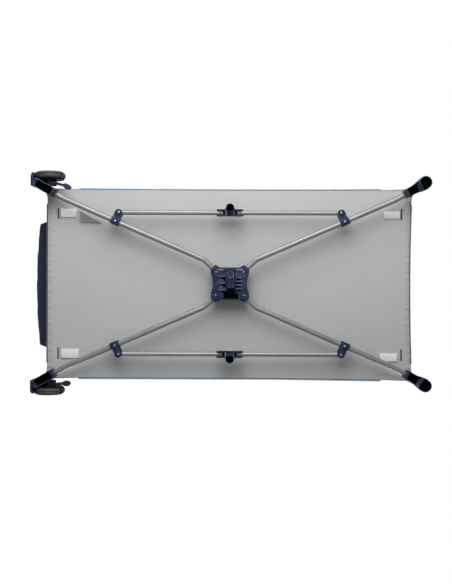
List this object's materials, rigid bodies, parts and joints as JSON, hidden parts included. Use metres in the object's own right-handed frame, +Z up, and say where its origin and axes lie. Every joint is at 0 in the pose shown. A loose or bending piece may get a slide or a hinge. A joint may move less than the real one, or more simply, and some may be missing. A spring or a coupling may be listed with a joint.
{
  "type": "folding travel cot",
  "caption": "Folding travel cot with a centre hub, bent cross tubes, corner feet and posts, hinged top rails with latches, fabric base and walls, a pocket and end wheels.",
  "frame": {"origin": "on the floor, under the centre of the cot", "axes": "+X to the end without wheels, +Y to the rear long side, +Z up"},
  "size_m": [1.2526, 0.7048, 0.758],
  "materials": {
    "grey_tube": "satin",
    "navy_plastic": "satin",
    "black_plastic": "satin",
    "tyre_rubber": "matte",
    "axle_steel": "satin",
    "base_cloth": "matte",
    "wall_cloth": "matte",
    "pocket_cloth": "matte",
    "mattress_cloth": "matte",
    "white_webbing": "matte"
  },
  "bodies": {
    "corner_front_left": {"corner_foot_front_left": "navy_plastic", "corner_post_front_left": "grey_tube", "top_corner_front_left": "navy_plastic", "axle_front_left": "axle_steel"},
    "tube_front_left": {"cross_tube_front_left": "grey_tube", "cross_bracket_front_left": "navy_plastic"},
    "side_front_left": {"side_tube_front_left": "grey_tube"},
    "long_rail_front_left": {"long_rail_front_left": "grey_tube"},
    "short_rail_front_left": {"short_rail_front_left": "grey_tube"},
    "corner_front_right": {"corner_foot_front_right": "navy_plastic", "corner_post_front_right": "grey_tube", "top_corner_front_right": "navy_plastic"},
    "tube_front_right": {"cross_tube_front_right": "grey_tube", "cross_bracket_front_right": "navy_plastic"},
    "side_front_right": {"side_tube_front_right": "grey_tube"},
    "long_rail_front_right": {"long_rail_front_right": "grey_tube"},
    "short_rail_front_right": {"short_rail_front_right": "grey_tube"},
    "mid_front": {"mid_foot_front": "navy_plastic"},
    "wheel_front_left": {"tyre_front_left": "tyre_rubber", "wheel_core_front_left": "black_plastic"},
    "brake_front_left": {"brake_lever_front_left": "navy_plastic"},
    "corner_rear_left": {"corner_foot_rear_left": "navy_plastic", "corner_post_rear_left": "grey_tube", "top_corner_rear_left": "navy_plastic", "axle_rear_left": "axle_steel", "base_fabric": "base_cloth", "wall_fabric": "wall_cloth", "end_pocket": "pocket_cloth", "mattress": "mattress_cloth"},
    "tube_rear_left": {"cross_tube_rear_left": "grey_tube", "cross_bracket_rear_left": "navy_plastic"},
    "side_rear_left": {"side_tube_rear_left": "grey_tube"},
    "long_rail_rear_left": {"long_rail_rear_left": "grey_tube"},
    "short_rail_rear_left": {"short_rail_rear_left": "grey_tube"},
    "corner_rear_right": {"corner_foot_rear_right": "navy_plastic", "corner_post_rear_right": "grey_tube", "top_corner_rear_right": "navy_plastic"},
    "tube_rear_right": {"cross_tube_rear_right": "grey_tube", "cross_bracket_rear_right": "navy_plastic"},
    "side_rear_right": {"side_tube_rear_right": "grey_tube"},
    "long_rail_rear_right": {"long_rail_rear_right": "grey_tube"},
    "short_rail_rear_right": {"short_rail_rear_right": "grey_tube"},
    "mid_rear": {"mid_foot_rear": "navy_plastic"},
    "wheel_rear_left": {"tyre_rear_left": "tyre_rubber", "wheel_core_rear_left": "black_plastic"},
    "brake_rear_left": {"brake_lever_rear_left": "navy_plastic"},
    "latch_front": {"rail_latch_front": "navy_plastic"},
    "button_front": {"latch_button_front": "black_plastic"},
    "latch_rear": {"rail_latch_rear": "navy_plastic"},
    "button_rear": {"latch_button_rear": "black_plastic"},
    "latch_left": {"rail_latch_left": "navy_plastic"},
    "button_left": {"latch_button_left": "black_plastic"},
    "latch_right": {"rail_latch_right": "navy_plastic"},
    "button_right": {"latch_button_right": "black_plastic"},
    "hub": {"hub_cover": "navy_plastic", "hub_plate": "navy_plastic"},
    "lock": {"hub_lever": "black_plastic", "hub_strap": "white_webbing"}
  },
  "joints": [
    {"name": "fold", "type": "hinge", "parent": "corner_rear_left", "child": "tube_rear_left", "pos_m": [-0.5727, 0.29422, 0.042], "axis": [-0.4314, -0.9022, 0], "range_deg": [0, 77], "deforming": ["base_fabric", "wall_fabric", "end_pocket", "mattress"]},
    {"name": "hub_level", "type": "hinge", "parent": "tube_rear_left", "child": "hub", "pos_m": [-0.0505, 0.0445, 0.042], "axis": [-0.4314, -0.9022, 0], "range_deg": [-77, 0]},
    {"name": "tube_front_left_hinge", "type": "hinge", "parent": "hub", "child": "tube_front_left", "pos_m": [-0.0505, -0.0445, 0.042], "axis": [0.4314, -0.9022, 0], "range_deg": [0, 77]},
    {"name": "corner_front_left_level", "type": "hinge", "parent": "tube_front_left", "child": "corner_front_left", "pos_m": [-0.5727, -0.29422, 0.042], "axis": [0.4314, -0.9022, 0], "range_deg": [-77, 0]},
    {"name": "long_rail_front_left_hinge", "type": "hinge", "parent": "corner_front_left", "child": "long_rail_front_left", "pos_m": [-0.564, -0.32, 0.74], "axis": [0, 1, 0], "range_deg": [0, 75.79]},
    {"name": "short_rail_front_left_hinge", "type": "hinge", "parent": "corner_front_left", "child": "short_rail_front_left", "pos_m": [-0.612, -0.272, 0.74], "axis": [-1, 0, 0], "range_deg": [0, 77.93]},
    {"name": "side_tube_front_left_swing", "type": "hinge", "parent": "tube_front_left", "child": "side_front_left", "pos_m": [-0.34845, -0.22225, 0.042], "axis": [0, 0, 1], "range_deg": [0, 20.38]},
    {"name": "tube_front_right_hinge", "type": "hinge", "parent": "hub", "child": "tube_front_right", "pos_m": [0.0505, -0.0445, 0.042], "axis": [0.4314, 0.9022, 0], "range_deg": [0, 77]},
    {"name": "corner_front_right_level", "type": "hinge", "parent": "tube_front_right", "child": "corner_front_right", "pos_m": [0.5727, -0.29422, 0.042], "axis": [0.4314, 0.9022, 0], "range_deg": [-77, 0]},
    {"name": "long_rail_front_right_hinge", "type": "hinge", "parent": "corner_front_right", "child": "long_rail_front_right", "pos_m": [0.564, -0.32, 0.74], "axis": [0, -1, 0], "range_deg": [0, 75.79]},
    {"name": "short_rail_front_right_hinge", "type": "hinge", "parent": "corner_front_right", "child": "short_rail_front_right", "pos_m": [0.612, -0.272, 0.74], "axis": [-1, 0, 0], "range_deg": [0, 77.93]},
    {"name": "side_tube_front_right_swing", "type": "hinge", "parent": "tube_front_right", "child": "side_front_right", "pos_m": [0.34845, -0.22225, 0.042], "axis": [0, 0, 1], "range_deg": [-20.38, 0]},
    {"name": "long_rail_rear_left_hinge", "type": "hinge", "parent": "corner_rear_left", "child": "long_rail_rear_left", "pos_m": [-0.564, 0.32, 0.74], "axis": [0, 1, 0], "range_deg": [0, 75.79]},
    {"name": "short_rail_rear_left_hinge", "type": "hinge", "parent": "corner_rear_left", "child": "short_rail_rear_left", "pos_m": [-0.612, 0.272, 0.74], "axis": [1, 0, 0], "range_deg": [0, 77.93]},
    {"name": "side_tube_rear_left_swing", "type": "hinge", "parent": "tube_rear_left", "child": "side_rear_left", "pos_m": [-0.34845, 0.22225, 0.042], "axis": [0, 0, 1], "range_deg": [-20.38, 0]},
    {"name": "tube_rear_right_hinge", "type": "hinge", "parent": "hub", "child": "tube_rear_right", "pos_m": [0.0505, 0.0445, 0.042], "axis": [-0.4314, 0.9022, 0], "range_deg": [0, 77]},
    {"name": "corner_rear_right_level", "type": "hinge", "parent": "tube_rear_right", "child": "corner_rear_right", "pos_m": [0.5727, 0.29422, 0.042], "axis": [-0.4314, 0.9022, 0], "range_deg": [-77, 0]},
    {"name": "long_rail_rear_right_hinge", "type": "hinge", "parent": "corner_rear_right", "child": "long_rail_rear_right", "pos_m": [0.564, 0.32, 0.74], "axis": [0, -1, 0], "range_deg": [0, 75.79]},
    {"name": "short_rail_rear_right_hinge", "type": "hinge", "parent": "corner_rear_right", "child": "short_rail_rear_right", "pos_m": [0.612, 0.272, 0.74], "axis": [1, 0, 0], "range_deg": [0, 77.93]},
    {"name": "side_tube_rear_right_swing", "type": "hinge", "parent": "tube_rear_right", "child": "side_rear_right", "pos_m": [0.34845, 0.22225, 0.042], "axis": [0, 0, 1], "range_deg": [0, 20.38]},
    {"name": "mid_foot_front_level", "type": "hinge", "parent": "side_front_right", "child": "mid_front", "pos_m": [0.03, -0.22225, 0.042], "axis": [0.2592, 0.9412, -0.2166], "range_deg": [-79.28, 0]},
    {"name": "latch_front_level", "type": "hinge", "parent": "long_rail_front_right", "child": "latch_front", "pos_m": [0.027, -0.32, 0.74], "axis": [0, -1, 0], "range_deg": [-75.79, 0]},
    {"name": "mid_foot_rear_level", "type": "hinge", "parent": "side_rear_right", "child": "mid_rear", "pos_m": [0.03, 0.22225, 0.042], "axis": [-0.2592, 0.9412, 0.2166], "range_deg": [-79.28, 0]},
    {"name": "latch_rear_level", "type": "hinge", "parent": "long_rail_rear_right", "child": "latch_rear", "pos_m": [0.027, 0.32, 0.74], "axis": [0, -1, 0], "range_deg": [-75.79, 0]},
    {"name": "latch_left_level", "type": "hinge", "parent": "short_rail_rear_left", "child": "latch_left", "pos_m": [-0.612, 0.027, 0.74], "axis": [1, 0, 0], "range_deg": [-77.93, 0]},
    {"name": "latch_right_level", "type": "hinge", "parent": "short_rail_rear_right", "child": "latch_right", "pos_m": [0.612, 0.027, 0.74], "axis": [1, 0, 0], "range_deg": [-77.93, 0]},
    {"name": "wheel_front_spin", "type": "hinge", "parent": "corner_front_left", "child": "wheel_front_left", "pos_m": [-0.567, -0.339, 0.0435], "axis": [0, 1, 0], "continuous": true},
    {"name": "brake_front_press", "type": "hinge", "parent": "corner_front_left", "child": "brake_front_left", "pos_m": [-0.567, -0.3186, 0.0435], "axis": [0, 1, 0], "range_deg": [0, 18]},
    {"name": "wheel_rear_spin", "type": "hinge", "parent": "corner_rear_left", "child": "wheel_rear_left", "pos_m": [-0.567, 0.339, 0.0435], "axis": [0, 1, 0], "continuous": true},
    {"name": "brake_rear_press", "type": "hinge", "parent": "corner_rear_left", "child": "brake_rear_left", "pos_m": [-0.567, 0.3186, 0.0435], "axis": [0, 1, 0], "range_deg": [0, 18]},
    {"name": "button_front_press", "type": "slide", "parent": "latch_front", "child": "button_front", "axis": [0, 0, 1], "range_m": [0, 0.003], "stiffness_N_per_m": 300},
    {"name": "button_rear_press", "type": "slide", "parent": "latch_rear", "child": "button_rear", "axis": [0, 0, 1], "range_m": [0, 0.003], "stiffness_N_per_m": 300},
    {"name": "button_left_press", "type": "slide", "parent": "latch_left", "child": "button_left", "axis": [0, 0, 1], "range_m": [0, 0.003], "stiffness_N_per_m": 300},
    {"name": "button_right_press", "type": "slide", "parent": "latch_right", "child": "button_right", "axis": [0, 0, 1], "range_m": [0, 0.003], "stiffness_N_per_m": 300},
    {"name": "lock_pull", "type": "slide", "parent": "hub", "child": "lock", "axis": [0, 0, 1], "range_m": [0, 0.01], "stiffness_N_per_m": 200}
  ],
  "couplings": [
    {"joint": "hub_level", "follows": "fold", "ratio": -1},
    {"joint": "tube_front_left_hinge", "follows": "fold", "ratio": 1},
    {"joint": "corner_front_left_level", "follows": "fold", "ratio": -1},
    {"joint": "long_rail_front_left_hinge", "follows": "fold", "ratio": 0.98364},
    {"joint": "short_rail_front_left_hinge", "follows": "fold", "ratio": 1.0114},
    {"joint": "side_tube_front_left_swing", "follows": "fold", "ratio": 0.26396},
    {"joint": "tube_front_right_hinge", "follows": "fold", "ratio": 1},
    {"joint": "corner_front_right_level", "follows": "fold", "ratio": -1},
    {"joint": "long_rail_front_right_hinge", "follows": "fold", "ratio": 0.98364},
    {"joint": "short_rail_front_right_hinge", "follows": "fold", "ratio": 1.0114},
    {"joint": "side_tube_front_right_swing", "follows": "fold", "ratio": -0.26396},
    {"joint": "long_rail_rear_left_hinge", "follows": "fold", "ratio": 0.98364},
    {"joint": "short_rail_rear_left_hinge", "follows": "fold", "ratio": 1.0114},
    {"joint": "side_tube_rear_left_swing", "follows": "fold", "ratio": -0.26396},
    {"joint": "tube_rear_right_hinge", "follows": "fold", "ratio": 1},
    {"joint": "corner_rear_right_level", "follows": "fold", "ratio": -1},
    {"joint": "long_rail_rear_right_hinge", "follows": "fold", "ratio": 0.98364},
    {"joint": "short_rail_rear_right_hinge", "follows": "fold", "ratio": 1.0114},
    {"joint": "side_tube_rear_right_swing", "follows": "fold", "ratio": 0.26396},
    {"joint": "mid_foot_front_level", "follows": "fold", "ratio": -1.029},
    {"joint": "latch_front_level", "follows": "fold", "ratio": -0.98364},
    {"joint": "mid_foot_rear_level", "follows": "fold", "ratio": -1.029},
    {"joint": "latch_rear_level", "follows": "fold", "ratio": -0.98364},
    {"joint": "latch_left_level", "follows": "fold", "ratio": -1.0114},
    {"joint": "latch_right_level", "follows": "fold", "ratio": -1.0114}
  ]
}
